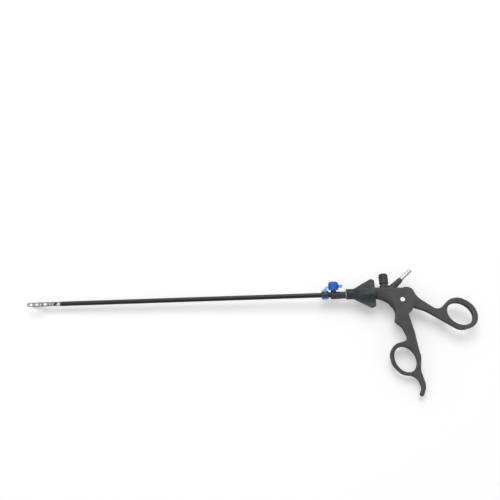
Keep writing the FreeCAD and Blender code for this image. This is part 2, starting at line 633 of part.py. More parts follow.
# A jaw, drawn closed from its pin: the upper one, or its mirror image below
def jaw(label, where, up):
    """up is 1 for the upper jaw and -1 for the lower one."""
    def height(text):
        return "%d * (%s)" % (up, text)

    body = new_body(label + "_body")
    root = "-jaw_root"
    tip = "-jaw_length"
    tip_round = "0.49 * jaw_width"
    side = [(root, height("0.05")),
            (tip, height("0.05"), "0.4"),
            (tip, height("jaw_tip_height"), "0.6"),
            (tip + " + 7", height("jaw_tip_height + 0.75"), "9"),
            (root + " - 1.5", height("jaw_height"), "1.5"),
            (root, height("jaw_height - 0.8"), "0.4")]
    pad(body, outline(new_sketch(body, "side", "XZ"), side), "jaw_width")
    around = outline(new_sketch(body, "plan"), [
        ("1", "-jaw_width"),
        ("1", "-jaw_width / 2"),
        (tip, "-jaw_width / 2", tip_round),
        (tip, "jaw_width / 2", tip_round),
        ("1", "jaw_width / 2"),
        ("1", "jaw_width"),
        (tip + " - 3", "jaw_width"),
        (tip + " - 3", "-jaw_width")])
    cut(body, around, "6 * jaw_height")

    windows = new_sketch(body, "windows")
    for start, end in (("-near_end", "-near_start"), ("-far_end", "-far_start")):
        outline(windows, [
            (start, "-jaw_window / 2", "0.9"), (end, "-jaw_window / 2", "0.9"),
            (end, "jaw_window / 2", "0.9"), (start, "jaw_window / 2", "0.9")])
    cut(body, windows, "6 * jaw_height")
    groove = outline(new_sketch(body, "tooth", "XZ"), [
        (tip + " + 2.5", height("-0.5")),
        (tip + " + 2.5 + tooth_depth", height("0.05 + tooth_depth")),
        (tip + " + 2.5 + 2 * tooth_depth", height("-0.5"))])
    tooth = cut(body, groove, "2 * jaw_width")
    row = body.newObject("PartDesign::LinearPattern", label + "_teeth")
    row.Originals = [tooth]
    row.Direction = (groove, ["H_Axis"])
    row.setExpression("Length", bound("tooth_pitch * (tooth_count - 1)"))
    row.setExpression("Occurrences", bound("tooth_count"))
    body.Tip = row
    doc.recompute()

    tail = new_body(label + "_tail")
    tail_end = "cam_closed + drive_pin_r + running + 0.6"
    beside_blade = "%d * (blade_thick / 2 + running + tail_thick / 2)" % -up
    shape = outline(new_sketch(tail, "side", "XZ", z=beside_blade), [
        (root + " - 0.8", height("0.05")),
        (root + " + 0.5", height("0.05"), "0.3"),
        ("-1.6", height("-1.1"), "0.8"),
        (tail_end, height("-1.15"), "0.8"),
        (tail_end, height("1.2"), "0.8"),
        ("2.2", height("1.75"), "1.5"),
        (root + " - 0.8", height("1.3"))])
    pad(tail, shape, "tail_thick")
    hole = circle(new_sketch(tail, "pin", "XZ"), "0", "0", "jaw_pin_r + running")
    cut(tail, hole, "4 * yoke_r")
    slot = cam_slot(label + "_slot", number("4 * yoke_r"))
    if up < 0:
        turned_over = FreeCAD.Matrix()
        turned_over.A33 = -1
        slot.Shape = slot.Shape.transformGeometry(turned_over)
    whole = pair("Fuse", label + "_whole", body, pair("Cut", label + "_slotted", tail, slot))
    round_stock = bar(label + "_stock", tip + " - 1", "2 * cam_closed", "yoke_r")
    pair("Common", label, whole, round_stock, where)


def about(x, y):
    """Writes corners measured from a point, as (right, up, rounding)."""
    def corner(right, up, rounding=None):
        place = ("%s + %s" % (x, right), "%s + %s" % (y, up))
        return place + ((str(rounding),) if rounding else ())
    return corner


from_pivot = about("pivot_x", "-pivot_drop")
from_finger = about("finger_hole_x", "-finger_hole_drop")
from_thumb = about("thumb_hole_x", "-thumb_hole_drop")


def face_edge(floor):
    """Picks the edges of the front face and of the back face."""
    def test(edge):
        heights = [v.Z for v in edge.Vertexes]
        return min(heights) > floor or max(heights) < -floor
    return test


# Front handle: housing, neck, finger ring and hook, moulded as one
def front_handle():
    body = new_body("front_handle", AT_HANDLE)
    face = outline(new_sketch(body, "face"), [
        ("pivot_x - disc_flat", "-pivot_drop + disc_r", "2"),
        from_pivot("disc_r", "disc_r", "disc_r - 0.1"),
        from_pivot("disc_r", "-6.3", "disc_r - 0.1"),
        from_pivot(4.3, -14.2, 2.2),
        from_pivot(8.8, -35.1, 28),
        from_finger(14.3, 8.4, 36),
        from_finger(15.7, 2.4, 17),
        from_finger(13.3, -11.0, 16),
        from_finger(16.7, -27.0, 13.5),
        from_finger(12.6, -36.6, 1.9),
        from_finger(8.6, -35.2, 1.8),
        from_finger(12.0, -28.4, 5.2),
        from_finger(9.3, -17.2, 9.4),
        from_finger(-5.1, -15.0, 11.8),
        from_finger(-13.3, -6.0, 14),
        from_finger(-15.5, 9.0, 14),
        from_finger(-7.3, 15.8, 10.5),
        from_finger(6.1, 19.2, 5.4),
        from_pivot(-2.2, -27.5, 8.4),
        from_pivot(-9.0, -20.3, 3.1),
        from_pivot(-6.0, -8.7, 11.5),
        ("pivot_x - disc_flat", "-pivot_drop - 2.4", "2")])
    pad(body, face, "2 * housing_thick")
    sides = new_sketch(body, "sides", "YZ")
    for up in ("", "-"):
        outline(sides, [
            ("disc_r", up + "housing_thick / 2"),
            ("-pivot_drop - blade_top", up + "housing_thick / 2", "blade_bow"),
            ("-pivot_drop - blade_foot", up + "ring_thick / 2", "ring_bow"),
            ("-finger_hole_drop - hook_foot", up + "hook_thick / 2 * 0.85"),
            ("-finger_hole_drop - hook_foot", up + "housing_thick * 1.5"),
            ("disc_r", up + "housing_thick * 1.5")])
    cut(body, sides, "8 * finger_hole_drop")
    ring = new_sketch(body, "finger_hole", x="finger_hole_x", y="-finger_hole_drop",
                      turn="-finger_hole_turn")
    oval(ring, "finger_hole_long", "finger_hole_short")
    cut(body, ring, "2 * housing_thick")
    picked = face_edge(number("hook_thick") / 2 * 0.8)
    soften(body, "handle_edge", lambda edge: picked(edge) and not edge.isClosed())
    soften(body, "ring_edge", lambda edge: picked(edge) and edge.isClosed())

    loft = body.newObject("PartDesign::AdditiveLoft", "neck")
    sections = []
    for title, place, low, high, half, rounding in (
            ("front", "neck_front", "neck_r", "neck_r", "neck_r", "neck_r - 0.1"),
            ("middle", "neck_front + neck_crown", "neck_r + 2.4", "neck_r - 0.5",
             "housing_thick / 2 - 0.6", "4.2"),
            ("back", "pivot_x - neck_back", "pivot_drop + 5.0", "disc_r - pivot_drop - 0.1",
             "housing_thick / 2 - 0.05", "1.9")):
        sections.append(outline(new_sketch(body, "neck_" + title, "YZ", z=place), [
            ("-(%s)" % low, "-(%s)" % half, rounding),
            (high, "-(%s)" % half, rounding),
            (high, half, rounding),
            ("-(%s)" % low, half, rounding)]))
    loft.Profile = sections[0]
    loft.Sections = sections[1:]
    loft.Ruled = False
    doc.recompute()
    for title, top, radius in (("boss", "boss_top", "boss_r"), ("guide", "guide_top", "guide_r")):
        post = circle(new_sketch(body, title, "XZ", z="-" + top), "button_x", "0", radius)
        pad(body, post, top + " - spindle_r", both_ways=False)

    inside = outline(new_sketch(body, "neck_bore"), [
        ("neck_front - 1", "0"),
        ("neck_front - 1", "bushing_r"),
        ("neck_front + bushing_length", "bushing_r"),
        ("neck_front + bushing_length", "spindle_r + 0.1"),
        ("spindle_end + free_gap", "spindle_r + 0.1"),
        ("spindle_end + free_gap", "rod_r + 0.5"),
        ("pivot_x - rod_room", "rod_r + 0.5"),
        ("pivot_x - rod_room", "0")])
    spin(body, inside, groove=True)
    cavity = outline(new_sketch(body, "latch", "YZ", z="button_x"), [
        ("-neck_r - 0.2", "-latch_width / 2 - free_gap"),
        ("latch_roof", "-latch_width / 2 - free_gap"),
        ("latch_roof", "latch_width / 2 + free_gap"),
        ("-neck_r - 0.2", "latch_width / 2 + free_gap")])
    cut(body, cavity, "latch_thick + 2 * free_gap")
    stem = circle(new_sketch(body, "stem", "XZ"), "button_x", "0", "stem_r + running * 2")
    cut(body, stem, "guide_top + 1", both_ways=False)
    electrode_bore(body)

    well = new_sketch(body, "well")
    outline(well, [
        from_pivot(-9.7, 5.5),
        from_pivot(-6.4, 12.3, 1.0),
        from_pivot(1.4, 12.3),
        from_pivot(1.4, 30),
        from_pivot(40, 30),
        from_pivot(40, -30),
        from_pivot(15.5, -18.6),
        from_pivot(6.4, -9.4, 1.5),
        from_pivot(-9.7, -9.4, 8)])
    cut(body, well, "lever_thick + 2 * free_gap")
    for title, radius, place, depth in (
            ("shank", "screw_r", "0", "2 * housing_thick"),
            ("head", "screw_head_r + 0.1", "housing_thick / 2", "2 * screw_head - 0.8"),
            ("nut", "nut_r", "-housing_thick / 2", "2 * nut_thick")):
        bore = circle(new_sketch(body, title, z=place), "pivot_x", "-pivot_drop", radius)
        cut(body, bore, depth)
    return body


def electrode_bore(body):
    """Cuts the seat of the electrode pin and of its contact."""
    seat = outline(new_sketch(body, "electrode", x="electrode_x", turn="electrode_slope"), [
        ("rod_r", "0"),
        ("rod_r", "contact_r"),
        ("contact_end + contact_length", "contact_r"),
        ("contact_end + contact_length", "shank_r"),
        ("electrode_end", "shank_r"),
        ("electrode_end", "0")])
    spin(body, seat, groove=True)


# Electrode pin with its inner contact, in a tapered boot
def electrode():
    body = new_body("electrode_turned")
    shape = outline(new_sketch(body, "half", x="electrode_x", turn="electrode_slope"), [
        ("rod_r", "0"),
        ("rod_r", "contact_r"),
        ("contact_end + contact_length", "contact_r"),
        ("contact_end + contact_length", "shank_r"),
        ("boot_end", "shank_r"),
        ("boot_end", "electrode_r"),
        ("electrode_end", "electrode_r", "0.8"),
        ("electrode_end", "0")])
    spin(body, shape)
    channel = bar("contact_channel", "electrode_x - 8", "electrode_x + 12", "rod_r + running")
    pair("Cut", "electrode_pin", body, channel, AT_HANDLE)
    boot = new_body("boot_turned")
    wall = outline(new_sketch(boot, "half", x="electrode_x", turn="electrode_slope"), [
        ("boot_start / 2", "shank_r"),
        ("boot_start / 2", "boot_foot_r + 0.3"),
        ("boot_start", "boot_foot_r"),
        ("boot_end", "boot_tip_r", "0.7"),
        ("boot_end", "shank_r")])
    spin(boot, wall)
    below = doc.addObject("Part::Box", "boot_seat")
    below.setExpression("Length", bound("2 * pivot_x"))
    below.setExpression("Width", bound("2 * disc_r"))
    below.setExpression("Height", bound("housing_thick"))
    below.setExpression("Placement", bound(placed(
        y="-disc_r - pivot_drop", z="-housing_thick / 2")))
    above = pair("Cut", "boot_above", boot, below)
    above.setExpression("Placement", bound(AT_HANDLE))
    pair("Cut", "electrode_boot", above, sub_parts["front_handle"], placed())


# Pivot screw, nut and the lever's bushing
def pivot():
    def upright(label, corners):
        body = new_body(label, AT_HANDLE)
        sketch = new_sketch(body, "half", "XZ", x="pivot_x", z="pivot_drop")
        spin(body, outline(sketch, corners), "V_Axis")
        return body

    seat = "housing_thick / 2 - screw_head + 0.4"
    crown = seat + " + screw_head"
    foot = "-housing_thick / 2"
    screw = upright("pivot_screw", [
        ("0", crown),
        ("screw_head_r", crown, "0.7"),
        ("screw_head_r", seat),
        ("screw_r", seat),
        ("screw_r", foot + " + 0.2"),
        ("0", foot + " + 0.2")])
    drive = outline(new_sketch(screw, "slot", z=crown, x="pivot_x", y="-pivot_drop", turn="35"), [
        ("-screw_r", "-0.35"), ("screw_r", "-0.35"), ("screw_r", "0.35"), ("-screw_r", "0.35")])
    cut(screw, drive, "1.2")
    upright("pivot_nut", [
        ("screw_r", foot),
        ("nut_r - 0.3", foot),
        ("nut_r", foot + " + 0.3"),
        ("nut_r", foot + " + nut_thick"),
        ("screw_r", foot + " + nut_thick")])
    upright("lever_bushing", [
        ("screw_r + running", "-lever_thick / 2"),
        ("lever_bushing_r", "-lever_thick / 2"),
        ("lever_bushing_r", "lever_thick / 2"),
        ("screw_r + running", "lever_thick / 2")])
    turned("neck_bushing", AT_HANDLE, [
        ("neck_front", "spindle_r + running"),
        ("neck_front", "bushing_r"),
        ("neck_front + bushing_length", "bushing_r"),
        ("neck_front + bushing_length", "spindle_r + running")])


# Thumb lever with the notch that holds the rod's ball
def thumb_lever():
    body = new_body("thumb_handle", AT_HANDLE)
    face = outline(new_sketch(body, "face"), [
        from_pivot(-4.8, 11.5, 2.3),
        from_pivot(3.0, 11.5, 2.1),
        from_pivot(3.0, 15.9, 2.0),
        from_pivot(12.0, 14.9, 7.2),
        from_pivot(16.2, 3.9, 16),
        from_thumb(-20.9, 3.9, 7.2),
        from_thumb(-7.1, 17.5, 15),
        from_thumb(3.3, 17.1, 13.6),
        from_thumb(17.1, 8.5, 18),
        from_thumb(17.5, -12.3, 12.6),
        from_thumb(-1.7, -17.7, 12.8),
        from_pivot(23.9, -11.6, 30),
        from_pivot(8.6, -5.6, 2.5),
        from_pivot(4.2, -8.4, 2.4),
        from_pivot(-8.4, -8.4, 8.0),
        from_pivot(-8.4, 4.5, 4.0)])
    pad(body, face, "lever_thick")
    ring = new_sketch(body, "thumb_hole", x="thumb_hole_x", y="-thumb_hole_drop",
                      turn="-thumb_hole_turn")
    oval(ring, "thumb_hole_long", "thumb_hole_short")
    cut(body, ring, "2 * lever_thick")
    soften(body, "lever_edge", face_edge(number("lever_thick") / 2 - 0.01))
    bore = circle(new_sketch(body, "bore"), "pivot_x", "-pivot_drop", "lever_bushing_r")
    cut(body, bore, "2 * lever_thick")
    half = "(ball_r + running)"
    notch = outline(new_sketch(body, "notch", x="pivot_x", y="-pivot_drop", turn="lever_mid"), [
        ("-" + half, "pivot_drop + 4"),
        ("-" + half, "pivot_drop - ball_r - 3 * running"),
        (half, "pivot_drop - ball_r - 3 * running"),
        (half, "pivot_drop + 4")])
    cut(body, notch, "2 * (ball_r + running)")
    slit = outline(new_sketch(body, "slit", x="pivot_x", y="-pivot_drop", turn="lever_mid"), [
        ("-2 * pivot_drop", "pivot_drop + 4"),
        ("-2 * pivot_drop", "pivot_drop - ball_r"),
        ("0", "pivot_drop - ball_r"),
        ("0", "pivot_drop + 4")])
    cut(body, slit, "2 * (ball_neck_r + free_gap)")
    return body


# Release button with its stem, latch plate and spring
def release_button():
    head = new_body("button_cap", AT_HANDLE)
    foot = "button_top - button_height"
    roof = "button_top - button_roof"
    corners = [
        ("0", "button_top"),
        ("0", roof),
        ("guide_r + free_gap", roof),
        ("guide_r + free_gap", foot),
        ("button_r", foot)]
    ribs = int(number("button_ribs"))
    for rib in range(ribs):
        step = "%s + button_height * %d / %d" % (foot, rib + 1, ribs + 1)
        corners += [("button_r", step + " - 0.45"), ("button_r - 0.5", step + " - 0.2"),
                    ("button_r - 0.5", step + " + 0.2"), ("button_r", step + " + 0.45")]
    corners += [("button_r", "button_top - 0.9"), ("button_r - 0.9", "button_top")]
    sketch = outline(new_sketch(head, "half", x="button_x"), corners)
    spin(head, sketch, "V_Axis")
    turned("button_stem", AT_HANDLE, [
        ("0", roof), ("0", "latch_top"), ("stem_r", "latch_top"), ("stem_r", roof)],
        "V_Axis", x="button_x")
    plate = new_body("latch_plate", AT_HANDLE)
    low = "-spindle_groove_r - 1.35"
    shape = outline(new_sketch(plate, "face", "YZ", z="button_x"), [
        (low, "-latch_width / 2", "2"),
        ("latch_top", "-latch_width / 2", "0.5"),
        ("latch_top", "latch_width / 2", "0.5"),
        (low, "latch_width / 2", "2")])
    pad(plate, shape, "latch_thick")
    keyhole = new_sketch(plate, "keyhole", "YZ", z="button_x")
    circle(keyhole, "0", "0", "spindle_groove_r + running")
    cut(plate, keyhole, "2 * latch_thick")
    clear = circle(new_sketch(plate, "clear", "YZ", z="button_x"),
                   "latch_travel", "0", "spindle_r + 0.1")
    cut(plate, clear, "2 * latch_thick")


def button_spring():
    start = "guide_top"
    height = "(button_top - button_roof - guide_top - 2 * spring_wire)"
    helix = doc.addObject("Part::Helix", "spring_line")
    helix.setExpression("Radius", bound("spring_r"))
    helix.setExpression("Height", bound(height))
    helix.setExpression("Pitch", bound(height + " / 4"))
    wire = doc.addObject("Part::Circle", "spring_section")
    wire.setExpression("Radius", bound("spring_wire"))
    wire.setExpression("Placement", bound(placed(x="spring_r", axis="1; 0; 0", angle="90")))
    sweep = doc.addObject("Part::Sweep", "button_spring")
    doc.recompute()
    sweep.Sections = [wire]
    sweep.Spine = (helix, ["Edge1"])
    sweep.Solid = True
    sweep.Frenet = True
    keep("button_spring", sweep, AT_HANDLE + " * " + placed(
        x="button_x", y=start + " + spring_wire", axis="1; 0; 0", angle="-90"))


tube()
rotation_collar()
spindle()
flushing_port()
port_cap()
tether()
rod_seal()
jaw_yoke()
drive_rod()
jaw("upper_jaw", AT_UPPER_JAW, 1)
jaw("lower_jaw", AT_LOWER_JAW, -1)
front_handle()
electrode()
pivot()
thumb_lever()
release_button()
button_spring()
doc.recompute()

failed = [item.Label for item in doc.Objects if {"Invalid", "Error"} & set(item.State)]
for label, piece in sub_parts.items():
    if piece.Shape.isNull() or not piece.Shape.isValid() or not piece.Shape.Solids:
        failed.append(label)
if failed:
    raise RuntimeError("these objects failed: " + ", ".join(failed))
os.makedirs("parts", exist_ok=True)
for label, piece in sub_parts.items():
    piece.Shape.exportStep("parts/" + label + ".step")
print("wrote", len(sub_parts), "sub-parts")
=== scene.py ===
import json

import bpy
from mathutils import Matrix, Vector


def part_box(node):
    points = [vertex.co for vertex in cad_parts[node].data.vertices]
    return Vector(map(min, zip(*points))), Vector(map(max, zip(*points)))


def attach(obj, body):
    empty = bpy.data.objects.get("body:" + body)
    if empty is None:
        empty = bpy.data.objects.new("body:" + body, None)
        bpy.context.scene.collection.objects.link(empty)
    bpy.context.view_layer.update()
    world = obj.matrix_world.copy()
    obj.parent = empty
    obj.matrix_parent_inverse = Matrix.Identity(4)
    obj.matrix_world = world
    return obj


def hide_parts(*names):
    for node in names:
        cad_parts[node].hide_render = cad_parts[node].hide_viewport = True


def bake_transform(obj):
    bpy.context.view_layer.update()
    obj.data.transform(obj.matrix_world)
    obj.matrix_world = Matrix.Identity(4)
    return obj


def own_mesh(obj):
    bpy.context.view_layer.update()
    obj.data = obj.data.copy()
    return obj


# Grasping forceps for keyhole surgery, lying open on a white table.
# The frame is in metres. X is 0 at the tube's front end and grows towards the handle,
# +Y is the side of the release button, and +Z stands up from the flat handle.

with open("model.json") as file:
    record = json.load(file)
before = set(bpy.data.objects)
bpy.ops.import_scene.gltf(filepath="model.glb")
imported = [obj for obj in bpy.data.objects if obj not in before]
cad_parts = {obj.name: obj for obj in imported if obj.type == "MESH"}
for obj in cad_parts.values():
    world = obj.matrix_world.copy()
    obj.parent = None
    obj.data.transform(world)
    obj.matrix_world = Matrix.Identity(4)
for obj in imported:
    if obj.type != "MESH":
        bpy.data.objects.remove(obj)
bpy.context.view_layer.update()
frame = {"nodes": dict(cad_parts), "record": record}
bpy.ops.object.select_all(action="DESELECT")

scene = bpy.context.scene
scene.view_settings.view_transform = "Standard"
nodes = frame["nodes"]
MM = 0.001
WHITE = (1, 1, 1, 1)

# Directions that the finishes follow, and the axes that a distance is counted along
UP = (0, 0, 1)
TO_BUTTON = (0, 1, 0)
ALONG_TUBE = (1, 0, 0)
JAW_HINGE = PORT_AXIS = (0, 0.9397, 0.3420)
BESIDE_PIN = (-0.6691, 0.7431, 0)
ORIGIN = (0, 0, 0)
ACROSS_TUBE = (0, 1, 1)
ACROSS_SCREW = (1, 1, 0)


# Camera, where the photograph was taken from
CAMERA_PLACE = Vector((238.1, -197.3, 550.6)) * MM
CAMERA_AIM = Vector((205.6, 55.5, 0)) * MM
PICTURE_TOP = Vector((0.0379, 0.9090, 0.4151))
SENSOR_WIDTH = 36
LENS = 39.6
NEAREST_SEEN = 10 * MM


def turned_to(place, aim, top):
    """A placement at a point, facing another, with the picture's top towards a direction."""
    back = (place - aim).normalized()
    right = top.cross(back).normalized()
    turn = Matrix((right, back.cross(right), back)).transposed().to_4x4()
    return Matrix.Translation(place) @ turn


def set_camera():
    data = bpy.data.cameras.new("camera")
    data.sensor_width = SENSOR_WIDTH
    data.lens = LENS
    data.clip_start = NEAREST_SEEN
    camera = bpy.data.objects.new("camera", data)
    camera.matrix_world = turned_to(CAMERA_PLACE, CAMERA_AIM, PICTURE_TOP)
    scene.collection.objects.link(camera)
    scene.camera = camera


# Colours and the parts that a finish is made of
def colour(red, green, blue):
    """A colour as a screen shows it, from 0 to 255, in Blender's own linear values."""
    def linear(level):
        share = level / 255
        return share / 12.92 if share <= 0.04045 else ((share + 0.055) / 1.055) ** 2.4
    return (linear(red), linear(green), linear(blue), 1)


def shade(tone, factor):
    return (tone[0] * factor, tone[1] * factor, tone[2] * factor, 1)


def maths(tree, operation, first, second=None):
    """What a Math node makes of one or two sockets."""
    node = tree.nodes.new("ShaderNodeMath")
    node.operation = operation
    tree.links.new(first, node.inputs[0])
    if second is not None:
        tree.links.new(second, node.inputs[1])
    return node.outputs["Value"]


def rescaled(tree, value, start, end, low, high, curve="LINEAR"):
    """A number that goes from low to high as value goes from start to end."""
    node = tree.nodes.new("ShaderNodeMapRange")
    node.interpolation_type = curve
    limits = {"From Min": start, "From Max": end, "To Min": low, "To Max": high}
    for socket, number in limits.items():
        node.inputs[socket].default_value = number
    tree.links.new(value, node.inputs["Value"])
    return node.outputs["Result"]


# Between these values of its noise a pattern goes from one end to the other
NOISE_LOW, NOISE_HIGH = 0.3, 0.7

# Shares of open sky at which the painted crevice shade starts and is darkest
SKY_OPEN, SKY_SHUT = 0.95, 0.35
SKY_SAMPLES = 8

# A Mix node's colour sockets go by number, because others have the same names
MIX_SHARE, MIX_FIRST, MIX_SECOND, MIX_RESULT = 0, 6, 7, 2


class Finish:
    """A node material on the piece's own coordinates. vary_colour comes before any tint."""

    def __init__(self, name, tone, roughness, **settings):
        self.material = bpy.data.materials.new(name)
        self.material.use_nodes = True
        self.tree = self.material.node_tree
        self.shader = self.tree.nodes["Principled BSDF"].inputs
        own = self.tree.nodes.new("ShaderNodeTexCoord").outputs
        self.place, self.normal = own["Object"], own["Normal"]
        self.tone, self.roughness = tone, roughness
        self.shader["Base Color"].default_value = tone
        self.shader["Roughness"].default_value = roughness
        for socket, value in settings.items():
            self.shader[socket.replace("_", " ")].default_value = value

    def link(self, start, end):
        self.tree.links.new(start, end)

    def noise(self, size, detail, stretch=(1, 1, 1)):
        """Noise whose blotches are about size metres, drawn out where stretch is below 1."""
        mapping = self.tree.nodes.new("ShaderNodeMapping")
        mapping.inputs["Scale"].default_value = stretch
        self.link(self.place, mapping.inputs["Vector"])
        noise = self.tree.nodes.new("ShaderNodeTexNoise")
        noise.inputs["Scale"].default_value = 1 / size
        noise.inputs["Detail"].default_value = detail
        self.link(mapping.outputs["Vector"], noise.inputs["Vector"])
        return noise.outputs["Fac"]

    def vary_colour(self, pattern, low, high):
        """Lets a pattern move the colour between low and high times its tone."""
        ramp = self.tree.nodes.new("ShaderNodeValToRGB")
        first, last = ramp.color_ramp.elements
        first.position, last.position = NOISE_LOW, NOISE_HIGH
        first.color, last.color = shade(self.tone, low), shade(self.tone, high)
        self.link(pattern, ramp.inputs["Fac"])
        self.link(ramp.outputs["Color"], self.shader["Base Color"])

    def vary_roughness(self, pattern, spread):
        """Lets a pattern move the roughness by spread, both ways."""
        level = rescaled(self.tree, pattern, NOISE_LOW, NOISE_HIGH,
                         self.roughness - spread, self.roughness + spread)
        self.link(level, self.shader["Roughness"])

    def bumps(self, pattern, height):
        """Raises the surface by the pattern, height metres at most."""
        bump = self.tree.nodes.new("ShaderNodeBump")
        bump.inputs["Distance"].default_value = height
        bump.inputs["Strength"].default_value = 1
        self.link(pattern, bump.inputs["Height"])
        self.link(bump.outputs["Normal"], self.shader["Normal"])

    def tint(self, share, factor):
        """Multiplies the colour so far where share is 1, by a number or by a colour."""
        base = self.shader["Base Color"]
        mix = self.tree.nodes.new("ShaderNodeMix")
        mix.data_type = "RGBA"
        mix.blend_type = "MULTIPLY"
        by = factor if isinstance(factor, tuple) else (factor, factor, factor, 1)
        mix.inputs[MIX_SECOND].default_value = by
        self.link(base.links[0].from_socket, mix.inputs[MIX_FIRST])
        self.link(share, mix.inputs[MIX_SHARE])
        self.link(mix.outputs[MIX_RESULT], base)

    def paint_crevice_shade(self, reach, factor):
        """Paints shade into gaps and inner corners that are narrower than reach."""
        node = self.tree.nodes.new("ShaderNodeAmbientOcclusion")
        node.inputs["Distance"].default_value = reach
        node.samples = SKY_SAMPLES
        self.tint(self.step(node.outputs["AO"], SKY_OPEN, SKY_SHUT), factor)

    def step(self, value, start, end):
        """A share that goes smoothly from 0 to 1 as value goes from start to end."""
        return rescaled(self.tree, value, start, end, 0, 1, "SMOOTHSTEP")

    def product(self, first, second):
        return maths(self.tree, "MULTIPLY", first, second)

    def size(self, value):
        """A number without its sign."""
        return maths(self.tree, "ABSOLUTE", value)

    def vector_maths(self, operation, first, second=None):
        """What a Vector Math node makes of a socket, with a constant second vector."""
        node = self.tree.nodes.new("ShaderNodeVectorMath")
        node.operation = operation
        self.link(first, node.inputs[0])
        if second is not None:
            node.inputs[1].default_value = second
        single = operation in ("DOT_PRODUCT", "LENGTH")
        return node.outputs["Value" if single else "Vector"]

    def facing(self, direction):
        """How squarely the surface faces a direction of the piece, from -1 to 1."""
        return self.vector_maths("DOT_PRODUCT", self.normal, direction)

    def squarely(self, direction):
        """How squarely it faces a direction or its opposite, from 0 to 1."""
        return self.size(self.facing(direction))

    def along(self, direction):
        """The place along a direction of the piece, in metres."""
        return self.vector_maths("DOT_PRODUCT", self.place, direction)

    def away(self, place, across):
        """The distance from a place, counted along the axes where across is 1."""
        from_place = self.vector_maths("SUBTRACT", self.place, place)
        return self.vector_maths("LENGTH", self.vector_maths("MULTIPLY", from_place, across))


# Plastics
def moulded(name, tone, roughness, grain=0.35 * MM):
    """Moulded plastic: fine spark-eroded grain, faint mottling, specks, uneven gloss and painted
    shade in its crevices.
    """
    finish = Finish(name, tone, roughness, Specular_IOR_Level=0.32)
    mottling = finish.noise(9 * MM, detail=4)
    finish.vary_colour(mottling, low=0.86, high=1.16)
    specks = finish.step(finish.noise(0.8 * MM, detail=3), 0.56, 0.7)
    finish.tint(specks, 1.18)
    finish.vary_roughness(finish.noise(3 * MM, detail=3), spread=0.06)
    finish.bumps(finish.noise(grain, detail=3), height=0.02 * MM)
    # Painted shade in gaps and inner corners
    finish.paint_crevice_shade(reach=2.5 * MM, factor=0.5)
    return finish


def handle_grey():
    """The handles, with a painted highlight along their roundings and painted shade on their
    sides and towards the tube.
    """
    finish = moulded("handle_grey", colour(70, 70, 69), 0.50)
    level = finish.squarely(UP)
    off_side, off_flat = finish.step(level, 0.25, 0.5), finish.step(level, 0.985, 0.9)
    # Painted highlight along the roundings
    painted_rounding_highlight = finish.product(off_side, off_flat)
    finish.tint(painted_rounding_highlight, 1.7)
    # Painted shade on the side walls
    side = finish.step(level, 0.55, 0.15)
    finish.tint(side, 0.2)
    # Painted shade on the neck towards the tube
    painted_neck_shade = finish.step(finish.along(ALONG_TUBE), 356 * MM, 346 * MM)
    finish.tint(painted_neck_shade, 0.7)
    return finish


def collar_grey():
    """The collar, with painted shade in its valleys and a painted highlight on the crests of its
    lobes.
    """
    finish = moulded("collar_grey", colour(54, 60, 62), 0.44, grain=0.5 * MM)
    radius = finish.away(ORIGIN, ACROSS_TUBE)
    valley_foot, valley_top, crest = 6.0 * MM, 9.0 * MM, 12.5 * MM
    # Painted shade in the valleys between the lobes
    finish.tint(finish.step(radius, valley_top, valley_foot), 0.5)
    # Painted highlight on the crests of the lobes
    finish.tint(finish.step(radius, valley_top, crest), 1.7)
    return finish


def shrink_sleeve():
    """The tube's black insulation: smooth, with faint lines along it, and painted shade on its
    sides facing towards and away from the button.
    """
    finish = Finish("shrink_sleeve", colour(64, 64, 66), 0.30, Specular_IOR_Level=0.25)
    finish.vary_colour(finish.noise(1.5 * MM, detail=3, stretch=(0.02, 1, 1)), low=0.85, high=1.2)
    # Painted shade on the sides facing towards and away from the button
    towards_button = finish.facing(TO_BUTTON)
    finish.tint(finish.step(towards_button, 0.6, 0.98), 0.15)
    finish.tint(finish.step(towards_button, 0.1, -0.6), 0.1)
    finish.vary_roughness(finish.noise(2.0 * MM, detail=3, stretch=(0.1, 1, 1)), spread=0.05)
    finish.bumps(finish.noise(1.2 * MM, detail=2, stretch=(0.03, 1, 1)), height=0.01 * MM)
    return finish


def silicone(name, tone, roughness, clear):
    """Soft silicone, more or less clear."""
    finish = Finish(name, tone, roughness, Transmission_Weight=clear, IOR=1.41)
    finish.vary_colour(finish.noise(4 * MM, detail=3), low=0.92, high=1.08)
    finish.vary_roughness(finish.noise(1.5 * MM, detail=3), spread=0.05)
    finish.bumps(finish.noise(0.5 * MM, detail=3), height=0.01 * MM)
    return finish


# The cap's pull tab: its length, the length over which it pales, and the factor of its
# tone for the painted light shining through it
TAB_LENGTH = 4.2 * MM
TAB_FADE = 1 * MM
TAB_PAINTED_LIGHT = (8.0, 2.8, 1.15, 1)


def cap_blue():
    """The cap, with painted shade at its ends and top, and painted light through its thin pull
    tab.
    """
    finish = silicone("cap_blue", colour(46, 112, 222), 0.38, 0.0)
    # Painted shade on the cap's ends and top
    finish.tint(finish.step(finish.squarely(ALONG_TUBE), 0.35, 0.95), 0.5)
    finish.tint(finish.step(finish.facing(PORT_AXIS), 0.4, 0.95), 0.6)
    tab_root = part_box("port_cap")[1][0] - TAB_LENGTH
    # Painted light through the thin pull tab
    tab = finish.step(finish.along(ALONG_TUBE), tab_root, tab_root + TAB_FADE)
    finish.tint(tab, TAB_PAINTED_LIGHT)
    return finish


# Steels
def brushed(name, tone, roughness, stretch=(0.04, 1, 1)):
    """Steel with fine lines drawn out along one direction, and painted shade in its crevices."""
    finish = Finish(name, tone, roughness, Metallic=1.0)
    lines = finish.noise(0.12 * MM, detail=3, stretch=stretch)
    finish.vary_colour(finish.noise(2.5 * MM, detail=3, stretch=stretch), low=0.86, high=1.08)
    finish.vary_roughness(lines, spread=0.07)
    finish.bumps(lines, height=0.006 * MM)
    # Painted shade in gaps and inner corners
    finish.paint_crevice_shade(reach=1.5 * MM, factor=0.35)
    return finish


